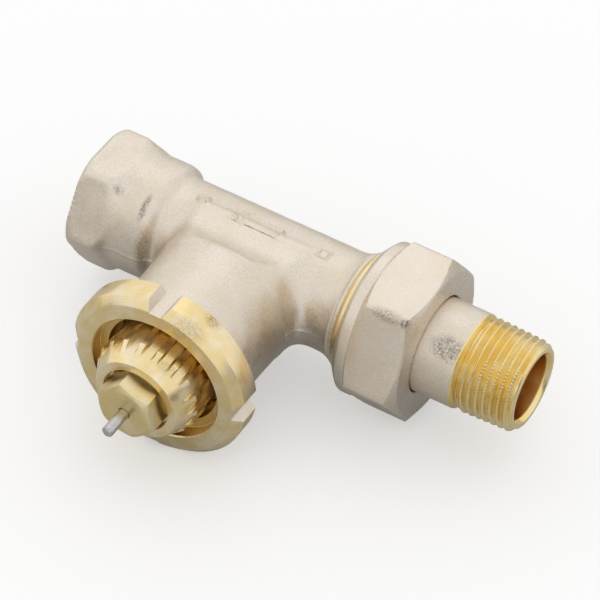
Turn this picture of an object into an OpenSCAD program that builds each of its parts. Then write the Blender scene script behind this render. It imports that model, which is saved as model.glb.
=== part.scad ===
// Straight radiator valve: a female hex inlet, a valve insert in a side neck
// and a union with a male tailpiece. The pipe runs along +X from the middle of
// the inlet's mouth, and the stem points along -Y.

/* [Pipe run] */
// Length over all, from the inlet's face to the tailpiece's end
overall_l = 85; // [80:0.5:95]
// Distance from the inlet's face to the stem's axis
stem_x = 31.3; // [30.5:0.1:32]
// Diameter of the round barrel
barrel_d = 18.4; // [18:0.1:19.4]

/* [Inlet] */
// Width over the flats of the inlet's hex
inlet_af = 22; // [21.5:0.1:24]
// Length of the inlet's hex
inlet_hex_l = 7.6; // [6:0.1:9]
// Diameter of the round socket behind the hex
socket_d = 21.4; // [20.6:0.1:21.6]
// Distance from the inlet's face to the end of the socket's shoulder
socket_l = 15.6; // [14:0.1:16.5]
// Wall diameter of the inlet's thread, which is its minor diameter
inlet_bore_d = 14.95; // [14:0.05:16]
// Depth of the inlet's thread
inlet_bore_l = 11.4; // [10:0.1:12]

/* [Neck] */
// Diameter of the neck's root, below the crease
neck_root_d = 26.6; // [26.4:0.1:27.4]
// Diameter of the neck above the crease
neck_start_d = 26.1; // [25.6:0.1:26.2]
// Diameter of the neck under the collar
neck_end_d = 25.5; // [25:0.1:27]
// Distance from the pipe's axis to the crease at the neck's root
neck_h = 11.7; // [11:0.1:13]
// Turn about the pipe's axis from the barrel's top to the start of the root's curve
root_turn = 8; // [4:0.5:12]
// Diameter of the turned collar
collar_d = 33.2; // [32:0.1:35]
// Distance from the pipe's axis to the collar's rear face
collar_h = 26.8; // [26:0.1:28]
// Distance from the pipe's axis to the collar's front face
mouth_h = 32.2; // [31.8:0.1:33]
// Length of the collar's front bevel
collar_bevel = 1.5; // [0.6:0.1:1.8]
// Number of notches in the collar
notch_count = 4; // [2:1:6]
// Depth of a notch
notch_depth = 1.7; // [0.8:0.1:2]
// Width of a notch at its floor
notch_floor_w = 2.2; // [1:0.1:3]

/* [Neck bores] */
// Diameter of the collar's mouth
mouth_d = 24.4; // [23.4:0.1:25]
// Depth of the collar's mouth
mouth_l = 2.6; // [1.5:0.1:3.5]
// Diameter of the deep bore around the toothed head
deep_d = 21.2; // [20.8:0.1:22]
// Distance from the pipe's axis to the deep bore's shoulder
shoulder_h = 23; // [22:0.1:24]
// Diameter of the thread that holds the bonnet
bonnet_thread_d = 18; // [17.6:0.1:18.4]
// Distance from the pipe's axis to the bottom of the bonnet's thread
thread_bottom_h = 14; // [13.5:0.1:14.8]
// Diameter of the valve chamber
chamber_d = 14; // [13.6:0.1:14.4]
// Distance from the pipe's axis to the chamber's floor
chamber_h = 2.2; // [2:0.1:2.6]

/* [Seat and ports] */
// Distance from the pipe's axis to the seat's lip
seat_h = 3; // [2.8:0.1:3.4]
// Diameter of the opening in the seat
seat_bore_d = 8; // [7:0.1:8.6]
// Width of the seat's lip
seat_lip_w = 0.8; // [0.5:0.1:1.2]
// Diameter of the port under the seat
under_port_d = 7.6; // [7:0.1:8]
// Distance from the pipe's axis to the axis of the port under the seat
under_port_drop = 3.6; // [3.4:0.1:3.8]
// Diameter of the slanted port to the inlet
slant_port_d = 7; // [6:0.1:7.4]
// Diameter of the waterway to the union
waterway_d = 11; // [10:0.1:12]

/* [Bonnet] */
// Number of teeth round the bonnet's head
tooth_count = 18; // [14:1:20]
// Diameter over the teeth
tooth_tip_d = 19.4; // [19:0.1:20]
// Turn of the teeth from the pipe's direction, as a share of a tooth's step
tooth_phase = 0.28; // [0:0.01:1]
// Diameter of the cutter that makes the gaps between the teeth
tooth_gap_d = 2.3; // [1.6:0.1:2.5]
// Distance from the pipe's axis to the front ends of the teeth
tooth_h = 34.2; // [33.5:0.1:35]
// Distance from the pipe's axis to the bonnet's front face
bonnet_h = 37.9; // [37.2:0.1:38.6]
// Diameter of the bonnet's front face
bonnet_face_d = 15.6; // [15:0.1:16.4]
// Diameter of the recess around the gland's hex
recess_d = 12.4; // [12.2:0.1:13]
// Depth of the recess around the gland's hex
recess_l = 1.9; // [1.5:0.1:2.5]
// Distance from the pipe's axis to the bonnet's lower end
bonnet_bottom_h = 11.2; // [10.9:0.1:11.4]
// Diameter of the cavity that holds the spring
cavity_d = 11; // [10.8:0.1:11.4]
// Distance from the pipe's axis to the top of the cavity
cavity_h = 28; // [27.7:0.1:28.4]
// Thickness of the seal under the toothed head
head_seal_t = 0.8; // [0.6:0.1:1.2]

/* [Gland] */
// Width over the flats of the gland's hex
gland_af = 10; // [9:0.1:10.4]
// Turn of the gland's hex about the stem
gland_turn = 43; // [0:1:60]
// Distance from the pipe's axis to the gland's front face
gland_h = 41.4; // [41:0.1:42]
// Least length of the gland's hex, which the bonnet's recess is deep enough for
gland_hex_l = 5.4; // [4.6:0.1:5.8]
// Diameter of the gland's flat front
gland_flat_d = 9; // [7.5:0.1:9]
// Diameter of the gland's thread
gland_thread_d = 8; // [7.6:0.1:8.4]
// Distance from the pipe's axis to the gland's inner end
gland_bottom_h = 29.6; // [29.3:0.1:30]
// Diameter of the packing chamber in the gland
packing_d = 5; // [4.6:0.1:5.4]
// Length of the packing chamber in the gland
packing_l = 7; // [6.8:0.1:7.6]

/* [Stem] */
// Diameter of the pressure pin
pin_d = 2; // [1.6:0.1:2.2]
// Distance from the pipe's axis to the pin's tip
pin_tip_h = 46.6; // [45.5:0.1:48]
// Diameter of the spindle
spindle_d = 3; // [2.6:0.1:3.4]
// Diameter of the spindle's spring plate
plate_d = 10; // [9.4:0.1:10.4]
// Thickness of the spindle's spring plate
plate_t = 1.4; // [1:0.1:2]
// Travel of the stem from open to closed
lift = 2; // [1.4:0.1:2.2]
// Diameter of the valve cone
cone_d = 11.6; // [10.8:0.1:12]
// Height of the valve cone
cone_l = 3.2; // [2.8:0.1:3.6]
// Diameter of the seat disc
disc_d = 10; // [9.6:0.1:10.2]
// Thickness of the seat disc
disc_t = 1.8; // [1.4:0.1:2]

/* [Spring] */
// Diameter of the spring's wire
wire_d = 0.8; // [0.6:0.1:1]
// Mean diameter of the spring's coil
coil_d = 7.6; // [7:0.1:8.2]
// Number of turns in the spring
coil_turns = 5.5; // [4:0.5:7]

/* [Union] */
// Width over the flats of the union nut
nut_af = 27; // [26.4:0.1:28]
// Turn of the nut's corners from the row's Y axis
nut_turn = 6.6; // [0:0.1:30]
// Distance from the stem's axis to the nut's rear face
nut_rear = 22.4; // [22:0.1:23]
// Length over all of the union nut
nut_l = 12.8; // [12.2:0.1:14]
// Diameter of the nut's round rear collar
nut_collar_d = 27.4; // [26:0.1:28]
// Length of the nut's round rear collar
nut_collar_l = 2.9; // [2:0.1:4]
// Outer diameter of the union's thread
union_thread_d = 22.9; // [22.4:0.1:23.2]
// Thickness of the nut's front wall
nut_wall = 3; // [2.4:0.1:3.4]

/* [Tailpiece] */
// Diameter of the tailpiece's plain barrel
tail_d = 17.1; // [16.8:0.1:17.6]
// Diameter of the tailpiece's inner collar
tail_collar_d = 21.6; // [21:0.1:22]
// Thickness of the tailpiece's inner collar
tail_collar_t = 3; // [2.4:0.1:3.4]
// Length of the tailpiece's thread
tail_thread_l = 11.2; // [10:0.1:12.5]
// Outer diameter of the tailpiece's thread at its gauge plane
tail_thread_d = 16.66; // [16.3:0.02:17]
// Distance from the tailpiece's end to the gauge plane
gauge_l = 6.4; // [6:0.1:7]
// Pitch of the tailpiece's thread
thread_pitch = 1.337; // [1:0.001:1.5]
// Depth of the tailpiece's thread
thread_depth = 0.86; // [0.5:0.01:1]
// Diameter of the tailpiece's waterway
tail_bore_d = 11.8; // [11:0.1:12.4]
// Diameter of the tailpiece's nose inside the body
nose_d = 14.6; // [14:0.1:15]
// Length of the tailpiece's nose inside the body
nose_l = 3.2; // [2.8:0.1:3.6]

/* [Flow arrow] */
// Distance from the arrow's tip to the stem's axis, towards the inlet
arrow_tip = 5.7; // [4:0.1:7]
// Length of the arrow
arrow_l = 10.8; // [8:0.1:12]
// Length of the arrow's head
arrow_head_l = 3.8; // [3:0.1:5]
// Width of the arrow's head
arrow_head_w = 3.9; // [3.2:0.1:5]
// Width of the arrow's shaft
arrow_shaft_w = 2; // [1.6:0.1:2.4]
// Width of the arrow's raised line
arrow_line = 0.3; // [0.2:0.05:0.5]
// Height of the raised line over the barrel
mark_rise = 0.25; // [0.15:0.05:0.4]

/* [Hidden] */
$fn = 96;
eps = 0.01;
// Clearances: between still threads and faces, of a running fit, and between loose rings
fit = 0.05;
slip = 0.04;
ring_gap = 0.03;
// Clearances: between end faces that touch in use, and between facing ends of pieces
end_gap = 0.1;
face_gap = 0.3;
// Colours
NICKEL = "#b9b2a4";
BRASS = "#c9a227";
STEEL = "#b8bcc2";
RUBBER = "#2b2b2b";
PLASTIC = "#e8e4da";

// Inlet and barrel
hex_corner_d = inlet_af / cos(30);
hex_lead = (hex_corner_d - inlet_af) / 2;
hex_back_l = 1.6;
socket_r = socket_d / 2;
barrel_r = barrel_d / 2;
shoulder_l = socket_r - barrel_r;
// Radius of the root's curve, which touches a circle just inside the barrel and
// ends at the crease's height, just outside the root
root_sink = 0.08;
start_r = barrel_r - root_sink;
root_r = neck_root_d / 2;
crease_r = root_r + 0.5;
root_reach = crease_r * cos(root_turn) + neck_h * sin(root_turn);
root_curve_r = (start_r * start_r + crease_r * crease_r + neck_h * neck_h
    - 2 * start_r * root_reach) / (2 * (root_reach - start_r));
// Waterways
port_overlap = 9;
slant_in_h = 1.4;
slant_out_h = 6.8;
slant_end = 3;
// Neck of the barrel's plated end before the union's thread
flare_l = 2.6;
flare_land = 0.6;
// Union, measured from the inlet's face
union_lead = 0.9;
union_land_d = union_thread_d - 2 * union_lead;
swivel_gap = 0.25;
nut_x0 = stem_x + nut_rear;
nut_x1 = nut_x0 + nut_l;
wall_x = nut_x1 - nut_wall;
tail_collar_x = wall_x - end_gap - tail_collar_t;
body_end_x = tail_collar_x - face_gap;
nose_x = body_end_x - nose_l;
union_start_l = 1.8;
union_start_x = nut_x0 - union_start_l;
thread_x = overall_l - tail_thread_l;
nose_room = 0.6;
socket_bore_l = nose_l + nose_room;
nose_groove_x = nose_x + 0.6;
nose_groove_l = 1.6;
nose_groove_depth = 1;
// A taper of 1 in 16 on the diameter
function thread_r(x) = tail_thread_d / 2 + (overall_l - gauge_l - x) / 32;
// Bonnet and gland
head_bottom_h = shoulder_h + head_seal_t;
head_flange_d = deep_d - 0.4;
head_flange_t = 1;
tooth_foot = 0.3;
recess_h = min(bonnet_h - recess_l, gland_h - gland_hex_l);
gland_corner_d = gland_af / cos(30);
gland_chamfer = (gland_corner_d - gland_flat_d) / 2 * tan(30);
packing_top_h = gland_bottom_h + packing_l;
o_ring_t = 1.7;
gland_groove_l = 1.5;
gland_groove_h = recess_h - gland_groove_l;
gland_ring_w = 1.2;
gland_groove_d = gland_thread_d + 2 * gland_ring_w;
back_up_t = 1.2;
// Stem stack, from the seat outwards
disc_h = seat_h + lift + fit;
cone_top_h = disc_h + cone_l;
washer_t = 0.7;
washer_gap = 1.2;
washer_d = seat_bore_d - 2 * washer_gap;
nut_t = 1;
disc_nut_af = 4;
plate_h = cavity_h - end_gap - plate_t;
clip_t = 0.8;
spindle_end_l = 0.4;
spindle_top_h = plate_h + plate_t + clip_t + spindle_end_l;
guide_t = 2.4;
guide_inset = 0.4;
guide_h = bonnet_bottom_h + guide_inset;
spring_h = guide_h + guide_t;
coil_steps = 24;
coil_sides = 8;
spring_z0 = spring_h + wire_d / 2;
spring_z1 = plate_h - end_gap - wire_d / 2;

// Places what is drawn along Z on the stem's axis, pointing out of the neck
module on_stem() {
    translate([stem_x, 0, 0]) rotate([90, 0, 0]) children();
}

// Places what is drawn along Z on the pipe's axis, pointing to the tailpiece
module on_pipe() {
    rotate([0, 90, 0]) children();
}

// A cylinder from one height to another
module rod(z0, z1, d) {
    translate([0, 0, z0]) cylinder(h = z1 - z0, d = d);
}

// A cone from one height and diameter to another
module taper(z0, d0, z1, d1) {
    translate([0, 0, z0]) cylinder(h = z1 - z0, d1 = d0, d2 = d1);
}

// A flat ring between two heights
module ring(z0, z1, d_out, d_in) {
    difference() {
        rod(z0, z1, d_out);
        rod(z0 - 1, z1 + 1, d_in);
    }
}

// A ring of round section, by its inner and outer diameter
module o_ring(z_mid, d_in, d_out) {
    translate([0, 0, z_mid]) rotate_extrude()
        translate([(d_in + d_out) / 4, 0]) circle(d = (d_out - d_in) / 2, $fn = 24);
}

// A hex bar between two heights
module hex_bar(z0, z1, af, turn = 0) {
    rotate([0, 0, turn]) rod_hex(z0, z1, af);
}

module rod_hex(z0, z1, af) {
    translate([0, 0, z0]) cylinder(h = z1 - z0, d = af / cos(30), $fn = 6);
}

// The inlet's hex, with both ends chamfered round
module inlet_hex() {
    intersection() {
        hex_bar(0, inlet_hex_l, inlet_af, 30);
        union() {
            taper(0, inlet_af + 0.4, hex_lead, hex_corner_d + 0.2);
            rod(hex_lead, inlet_hex_l - hex_lead, hex_corner_d + 0.2);
            taper(inlet_hex_l - hex_lead, hex_corner_d + 0.2, inlet_hex_l, inlet_af + 0.2);
        }
    }
}

// The barrel from the inlet to the union's thread, outer form
module pipe_run() {
    inlet_hex();
    taper(inlet_hex_l - eps, inlet_af - 0.1, inlet_hex_l + hex_back_l, socket_d);
    rod(inlet_hex_l + 1, socket_l - shoulder_l, socket_d);
    translate([0, 0, socket_l - shoulder_l]) rotate_extrude() intersection() {
        union() {
            square([barrel_r, shoulder_l]);
            translate([barrel_r, 0]) circle(r = shoulder_l);
        }
        square([socket_r, shoulder_l]);
    }
    rod(socket_l - 1, union_start_x, barrel_d);
    taper(union_start_x - flare_land - flare_l, barrel_d - 0.1,
        union_start_x - flare_land, union_land_d);
    rod(union_start_x - flare_land - eps, union_start_x, union_land_d);
    taper(union_start_x - eps, union_land_d, union_start_x + union_lead, union_thread_d);
    rod(union_start_x + union_lead - eps, body_end_x - union_lead, union_thread_d);
    taper(body_end_x - union_lead - eps, union_thread_d, body_end_x, union_land_d);
}

// The root between barrel and neck, hollowed on both sides by a wide curve that
// rises gently from just inside the barrel and ends at the crease
module neck_root() {
    root_y = start_r * sin(root_turn);
    centre_r = start_r + root_curve_r;
    intersection() {
        on_stem() rod(root_y, neck_h, neck_root_d);
        translate([stem_x - root_r - 1, 0, 0]) on_pipe() linear_extrude(neck_root_d + 2)
            difference() {
                translate([-root_r - 1, -neck_h]) square([neck_root_d + 2, neck_h - root_y]);
                for (side = [-1, 1])
                    translate([side * centre_r * cos(root_turn), -centre_r * sin(root_turn)])
                        circle(r = root_curve_r);
            }
    }
}

// The neck with its turned collar, outer form
module neck() {
    taper(neck_h - 0.2, neck_start_d, collar_h + eps, neck_end_d);
    rod(collar_h, mouth_h - collar_bevel, collar_d);
    taper(mouth_h - collar_bevel - eps, collar_d, mouth_h, collar_d - 2 * collar_bevel);
}

// One notch, cut through the collar along the stem
module notch() {
    floor_r = collar_d / 2 - notch_depth;
    top_w = notch_floor_w + 2 * notch_depth;
    translate([0, 0, collar_h - 1]) linear_extrude(mouth_h - collar_h + 2)
        polygon([[floor_r, -notch_floor_w / 2], [floor_r + notch_depth + 1, -top_w / 2 - 1],
            [floor_r + notch_depth + 1, top_w / 2 + 1], [floor_r, notch_floor_w / 2]]);
}

// The bores that the stem and the bonnet go into
module neck_bores() {
    rod(mouth_h - mouth_l, mouth_h + 1, mouth_d);
    rod(shoulder_h, mouth_h, deep_d);
    rod(thread_bottom_h, shoulder_h + 1, bonnet_thread_d);
    rod(chamber_h, thread_bottom_h + 1, chamber_d);
    rod(-under_port_drop, seat_h, seat_bore_d);
}

// The waterways along the pipe
module pipe_bores() {
    rod(-1, inlet_bore_l, inlet_bore_d);
    rod(stem_x + seat_bore_d / 2 + port_overlap, body_end_x + 1, waterway_d);
    rod(body_end_x - socket_bore_l, body_end_x + 1, nose_d + 2 * fit);
}

// The port under the seat, and the slanted port from the chamber to the inlet
module ports() {
    slant_run = stem_x - slant_end - inlet_bore_l;
    slant_rise = slant_out_h - slant_in_h;
    translate([0, under_port_drop, 0]) on_pipe() rod(stem_x - seat_bore_d / 2,
        stem_x + seat_bore_d / 2 + port_overlap + 1, under_port_d);
    translate([inlet_bore_l - 1, -slant_in_h, 0]) rotate([0, 0, -atan2(slant_rise, slant_run)])
        on_pipe() rod(0, slant_run, slant_port_d);
}

// A raised flow arrow on top of the barrel, pointing to the inlet
module arrow_outline() {
    tail_r = arrow_shaft_w / 2;
    barb = 0.3;
    polygon([[0, 0], [arrow_head_l, -arrow_head_w / 2], [arrow_head_l - barb, -tail_r],
        [arrow_l - tail_r, -tail_r], [arrow_l - tail_r, tail_r],
        [arrow_head_l - barb, tail_r], [arrow_head_l, arrow_head_w / 2]]);
    translate([arrow_l - tail_r, 0]) circle(r = tail_r);
}

module flow_arrow() {
    arrow_x = stem_x - arrow_tip;
    intersection() {
        translate([arrow_x, 0, 0]) linear_extrude(barrel_d) difference() {
            arrow_outline();
            offset(delta = -arrow_line, $fn = 24) arrow_outline();
        }
        on_pipe() ring(arrow_x - 1, arrow_x + arrow_l + 1, barrel_d + 2 * mark_rise, barrel_d - 0.4);
    }
}

module valve_body() {
    color(NICKEL) difference() {
        union() {
            difference() {
                union() {
                    on_pipe() pipe_run();
                    neck_root();
                    flow_arrow();
                    on_stem() neck();
                }
                on_stem() neck_bores();
                on_stem() for (k = [0 : notch_count - 1])
                    rotate([0, 0, k * 360 / notch_count]) notch();
            }
            on_stem() ring(chamber_h - 0.5, seat_h, seat_bore_d + 2 * seat_lip_w, seat_bore_d);
        }
        on_pipe() pipe_bores();
        ports();
    }
}

// The bonnet: a toothed head, a thread and a skirt in one turned piece
module bonnet() {
    thread_end_h = thread_bottom_h + 0.4;
    flange_h = head_bottom_h + head_flange_t;
    skirt_r = chamber_d / 2 - fit;
    thread_r = bonnet_thread_d / 2 - fit;
    color(BRASS) on_stem() difference() {
        rotate_extrude() polygon([[0, bonnet_bottom_h], [skirt_r, bonnet_bottom_h],
            [skirt_r, thread_end_h], [thread_r, thread_end_h], [thread_r, head_bottom_h],
            [head_flange_d / 2, head_bottom_h], [head_flange_d / 2, flange_h],
            [tooth_tip_d / 2, flange_h], [tooth_tip_d / 2, tooth_h],
            [bonnet_face_d / 2, bonnet_h], [0, bonnet_h]]);
        for (k = [0 : tooth_count - 1])
            rotate([0, 0, (k + tooth_phase) * 360 / tooth_count]) translate([tooth_tip_d / 2, 0, 0])
                rod(flange_h + tooth_foot, bonnet_h + 1, tooth_gap_d);
        rod(recess_h, bonnet_h + 1, recess_d);
        rod(gland_groove_h, recess_h + 1, gland_groove_d);
        rod(cavity_h - 1, recess_h + 1, gland_thread_d);
        rod(bonnet_bottom_h - 1, cavity_h, cavity_d);
    }
}

// The flat seal under the toothed head
module head_seal() {
    color(RUBBER) on_stem()
        ring(shoulder_h, head_bottom_h, head_flange_d - 0.2, bonnet_thread_d + 0.2);
}

// The bush that closes the bonnet's lower end and guides the spindle
module guide_bush() {
    color(BRASS) on_stem()
        ring(guide_h, spring_h, cavity_d - 2 * ring_gap, spindle_d + 2 * slip);
}

// The gland: a small hex nut that carries the pin's seals
module gland_nut() {
    color(BRASS) on_stem() difference() {
        union() {
            intersection() {
                hex_bar(recess_h - eps, gland_h, gland_af, gland_turn);
                union() {
                    rod(recess_h - 1, gland_h - gland_chamfer, gland_corner_d + 1);
                    taper(gland_h - gland_chamfer - eps, gland_corner_d, gland_h, gland_flat_d);
                }
            }
            rod(gland_bottom_h, recess_h, gland_thread_d - 2 * fit);
        }
        rod(gland_bottom_h - 1, packing_top_h, packing_d);
        rod(packing_top_h - 1, gland_h + 1, pin_d + 2 * slip);
    }
}

// The ring between the gland's hex and the bonnet
module gland_o_ring() {
    color(RUBBER) on_stem() o_ring(gland_groove_h + gland_groove_l / 2,
        gland_thread_d, gland_groove_d - 2 * ring_gap);
}

// The packing on the pin: a back-up ring, a rubber ring and a bush below it
module back_up_ring() {
    color(PLASTIC) on_stem() ring(packing_top_h - back_up_t, packing_top_h,
        packing_d - 2 * ring_gap, pin_d + 2 * slip);
}

module pin_o_ring() {
    color(RUBBER) on_stem() o_ring(packing_top_h - back_up_t - o_ring_t / 2,
        pin_d + 2 * slip, packing_d - 2 * ring_gap);
}

module gland_bush() {
    color(PLASTIC) on_stem() ring(gland_bottom_h, packing_top_h - back_up_t - o_ring_t,
        packing_d - 2 * ring_gap, pin_d + 2 * slip);
}

// The steel pin that the sensor presses
module pressure_pin() {
    tip = 0.3;
    color(STEEL) on_stem() {
        rod(spindle_top_h, pin_tip_h - tip, pin_d);
        taper(pin_tip_h - tip - eps, pin_d, pin_tip_h, pin_d - 2 * tip);
    }
}

// The spindle, with a thinner threaded end for the disc's nut
module spindle() {
    color(BRASS) on_stem() {
        rod(cone_top_h, spindle_top_h, spindle_d);
        rod(disc_h - washer_t - nut_t - 0.3, cone_top_h + eps, spindle_d - 1);
    }
}

// The plate that the spring lifts, stopped by the bonnet when the valve is open
module spring_plate() {
    color(STEEL) on_stem() ring(plate_h, plate_h + plate_t, plate_d, spindle_d + fit);
}

// The open clip that holds the plate on the spindle
module retaining_ring() {
    clip_h = plate_h + plate_t;
    clip_gap = 1.2;
    color(STEEL) on_stem() difference() {
        ring(clip_h, clip_h + clip_t, spindle_d + 2.6, spindle_d + fit);
        translate([0, -clip_gap / 2, clip_h - 1]) cube([spindle_d + 2, clip_gap, clip_t + 2]);
    }
}

// The spring coil, as a tube swept round the spindle
function coil_centre(i) = let (t = i / (coil_turns * coil_steps))
    [coil_d / 2 * cos(i * 360 / coil_steps), coil_d / 2 * sin(i * 360 / coil_steps),
        spring_z0 + (spring_z1 - spring_z0) * t];

function coil_ring(i) = let (c = coil_centre(i), a = i * 360 / coil_steps)
    [for (j = [0 : coil_sides - 1]) let (b = j * 360 / coil_sides)
        c + wire_d / 2 * [cos(b) * cos(a), cos(b) * sin(a), sin(b)]];

module return_spring() {
    last = round(coil_turns * coil_steps);
    points = [for (i = [0 : last]) each coil_ring(i)];
    sides = [for (i = [0 : last - 1], j = [0 : coil_sides - 1])
        let (a = i * coil_sides + j, b = i * coil_sides + (j + 1) % coil_sides)
        [a, a + coil_sides, b + coil_sides, b]];
    start = [for (j = [0 : coil_sides - 1]) j];
    end = [for (j = [coil_sides - 1 : -1 : 0]) last * coil_sides + j];
    color(STEEL) on_stem() polyhedron(points, concat(sides, [start], [end]));
}

// The cone that holds the rubber disc over the seat
module valve_cone() {
    color(BRASS) on_stem() difference() {
        union() {
            rod(disc_h + eps, cone_top_h - 1, cone_d);
            taper(cone_top_h - 1 - eps, cone_d, cone_top_h, spindle_d + 2);
        }
        rod(disc_h - 1, disc_h + disc_t, disc_d);
        rod(disc_h - 1, cone_top_h + 1, spindle_d - 1 + 2 * fit);
    }
}

module seat_disc() {
    color(RUBBER) on_stem()
        ring(disc_h, disc_h + disc_t, disc_d - 2 * ring_gap, spindle_d - 1 + 2 * fit);
}

module disc_washer() {
    color(BRASS) on_stem()
        ring(disc_h - washer_t, disc_h, washer_d, spindle_d - 1 + 2 * fit);
}

module disc_nut() {
    color(BRASS) on_stem() difference() {
        hex_bar(disc_h - washer_t - nut_t, disc_h - washer_t, disc_nut_af);
        rod(0, disc_h, spindle_d - 1 + 2 * fit);
    }
}

// The union nut: a round rear collar, a hex and a front wall
module union_nut() {
    corner_d = nut_af / cos(30);
    hex_x0 = nut_x0 + nut_collar_l;
    edge = 0.8;
    rear_lead = 1.2;
    front_lead = 1.4;
    face_drop = 1;
    color(NICKEL) on_pipe() difference() {
        union() {
            taper(nut_x0, nut_collar_d - 2 * edge - face_drop, nut_x0 + edge, nut_collar_d);
            rod(nut_x0 + edge - eps, hex_x0 + 0.5, nut_collar_d);
            intersection() {
                hex_bar(hex_x0, nut_x1, nut_af, 90 + nut_turn);
                union() {
                    taper(hex_x0 - 0.2, nut_af - 0.4, hex_x0 + rear_lead, corner_d + 0.2);
                    rod(hex_x0 + rear_lead - 0.1, nut_x1 - front_lead, corner_d + 0.2);
                    taper(nut_x1 - front_lead - eps, corner_d + 0.2, nut_x1, nut_af - face_drop);
                }
            }
        }
        rod(nut_x0 - 1, wall_x, union_thread_d + 2 * fit);
        rod(wall_x - 1, nut_x1 + 1, tail_d + 2 * swivel_gap);
    }
}

// The tailpiece: a nose, a collar, a plain barrel and a taper thread
module tailpiece() {
    bore_lead = 0.8;
    turns = floor((tail_thread_l - 0.4) / thread_pitch);
    profile = concat(
        [[0, nose_x], [nose_d / 2, nose_x], [nose_d / 2, tail_collar_x],
            [tail_collar_d / 2, tail_collar_x],
            [tail_collar_d / 2, tail_collar_x + tail_collar_t],
            [tail_d / 2, tail_collar_x + tail_collar_t], [tail_d / 2, thread_x]],
        [for (k = [0 : turns - 1]) let (x = thread_x + k * thread_pitch)
            each [[thread_r(x) - thread_depth, x + 0.1 * thread_pitch],
                [thread_r(x), x + 0.5 * thread_pitch],
                [thread_r(x), x + 0.62 * thread_pitch]]],
        [[thread_r(overall_l) - thread_depth, overall_l], [0, overall_l]]);
    color(NICKEL) on_pipe() difference() {
        rotate_extrude() polygon(profile);
        rod(nose_x - 1, overall_l + 1, tail_bore_d);
        taper(overall_l - bore_lead, tail_bore_d, overall_l + eps, tail_bore_d + 2 * bore_lead);
        ring(nose_groove_x, nose_groove_x + nose_groove_l, nose_d + 1,
            nose_d - 2 * nose_groove_depth);
    }
}

// The ring that seals the tailpiece's nose in the body
module union_o_ring() {
    color(RUBBER) on_pipe() o_ring(nose_groove_x + nose_groove_l / 2,
        nose_d - 2 * nose_groove_depth + ring_gap, nose_d + 2 * fit - ring_gap);
}

valve_body();
bonnet();
head_seal();
guide_bush();
gland_nut();
gland_o_ring();
pin_o_ring();
back_up_ring();
gland_bush();
pressure_pin();
spindle();
spring_plate();
retaining_ring();
return_spring();
valve_cone();
seat_disc();
disc_washer();
disc_nut();
union_nut();
tailpiece();
union_o_ring();
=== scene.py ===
"""Dresses the CAD frame of a straight radiator valve: the forged body with its marks,
the turned brass parts, the threads, the finishes, and a plain studio around them."""

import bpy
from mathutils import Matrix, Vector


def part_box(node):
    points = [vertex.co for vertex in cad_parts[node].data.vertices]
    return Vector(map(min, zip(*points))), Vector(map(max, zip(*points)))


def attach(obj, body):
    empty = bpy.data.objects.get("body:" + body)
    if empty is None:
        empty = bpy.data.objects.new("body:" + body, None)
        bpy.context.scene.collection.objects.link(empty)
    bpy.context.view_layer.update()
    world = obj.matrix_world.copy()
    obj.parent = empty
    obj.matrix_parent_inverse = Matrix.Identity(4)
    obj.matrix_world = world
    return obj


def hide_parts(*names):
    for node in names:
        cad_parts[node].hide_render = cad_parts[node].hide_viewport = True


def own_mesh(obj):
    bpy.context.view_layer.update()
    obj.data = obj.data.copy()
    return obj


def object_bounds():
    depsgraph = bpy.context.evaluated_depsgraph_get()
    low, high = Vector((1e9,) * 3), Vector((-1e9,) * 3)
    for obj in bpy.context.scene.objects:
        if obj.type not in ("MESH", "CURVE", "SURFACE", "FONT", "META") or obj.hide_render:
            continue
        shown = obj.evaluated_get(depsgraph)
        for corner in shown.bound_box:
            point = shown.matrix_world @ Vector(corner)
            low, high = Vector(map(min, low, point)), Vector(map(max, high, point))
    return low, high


bl_info = {
    "name": "Straight radiator valve",
    "version": (1, 0, 0),
    "blender": (4, 5, 0),
    "location": "3D View > Sidebar > Valve",
    "description": "Forged body, turned brass, threads, finishes and studio of a radiator valve",
    "category": "Object",
}

import math

import bpy
import numpy as np
from bpy.props import FloatProperty, FloatVectorProperty, IntProperty, PointerProperty
from mathutils import Matrix, Vector

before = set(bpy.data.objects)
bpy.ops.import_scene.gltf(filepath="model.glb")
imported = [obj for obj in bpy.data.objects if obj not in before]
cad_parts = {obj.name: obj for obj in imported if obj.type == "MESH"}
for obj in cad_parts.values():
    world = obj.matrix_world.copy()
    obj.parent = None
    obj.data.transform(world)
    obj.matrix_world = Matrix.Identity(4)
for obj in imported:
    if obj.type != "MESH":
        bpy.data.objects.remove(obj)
CAD_BOX = [list(corner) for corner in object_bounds()]

MM = 0.001
# Places along the pipe and along the stem, in mm, the same as in the CAD frame
STEM_X = 31.3
BARREL_R = 9.2
HEX_LENGTH = 7.6
HEX_FLAT = 11.0
SOCKET_R = 10.7
SOCKET_END = 15.6
PLATED_END = 51.9
LAND_R = 10.55
UNION_R = 11.45
BODY_END = 60.1
CREASE_H = 11.7
ROOT_R = 13.3
COLLAR_H = 26.8
MOUTH_H = 32.2
COLLAR_R = 16.6
COLLAR_BEVEL = 1.5
NOTCH_FLOOR_R = 14.9
NOTCH_FLOOR = 2.2
NOTCH_SPREAD = 0.65
HEAD_H = 24.8
TOOTH_H = 34.2
BONNET_H = 37.9
TOOTH_R = 9.7
TEETH = 18
NUT_START = 53.7
NUT_END = 66.5
NUT_TURN = 6.6
TAIL_END = 85.0
THREAD_START = 73.8


# Settings

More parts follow.
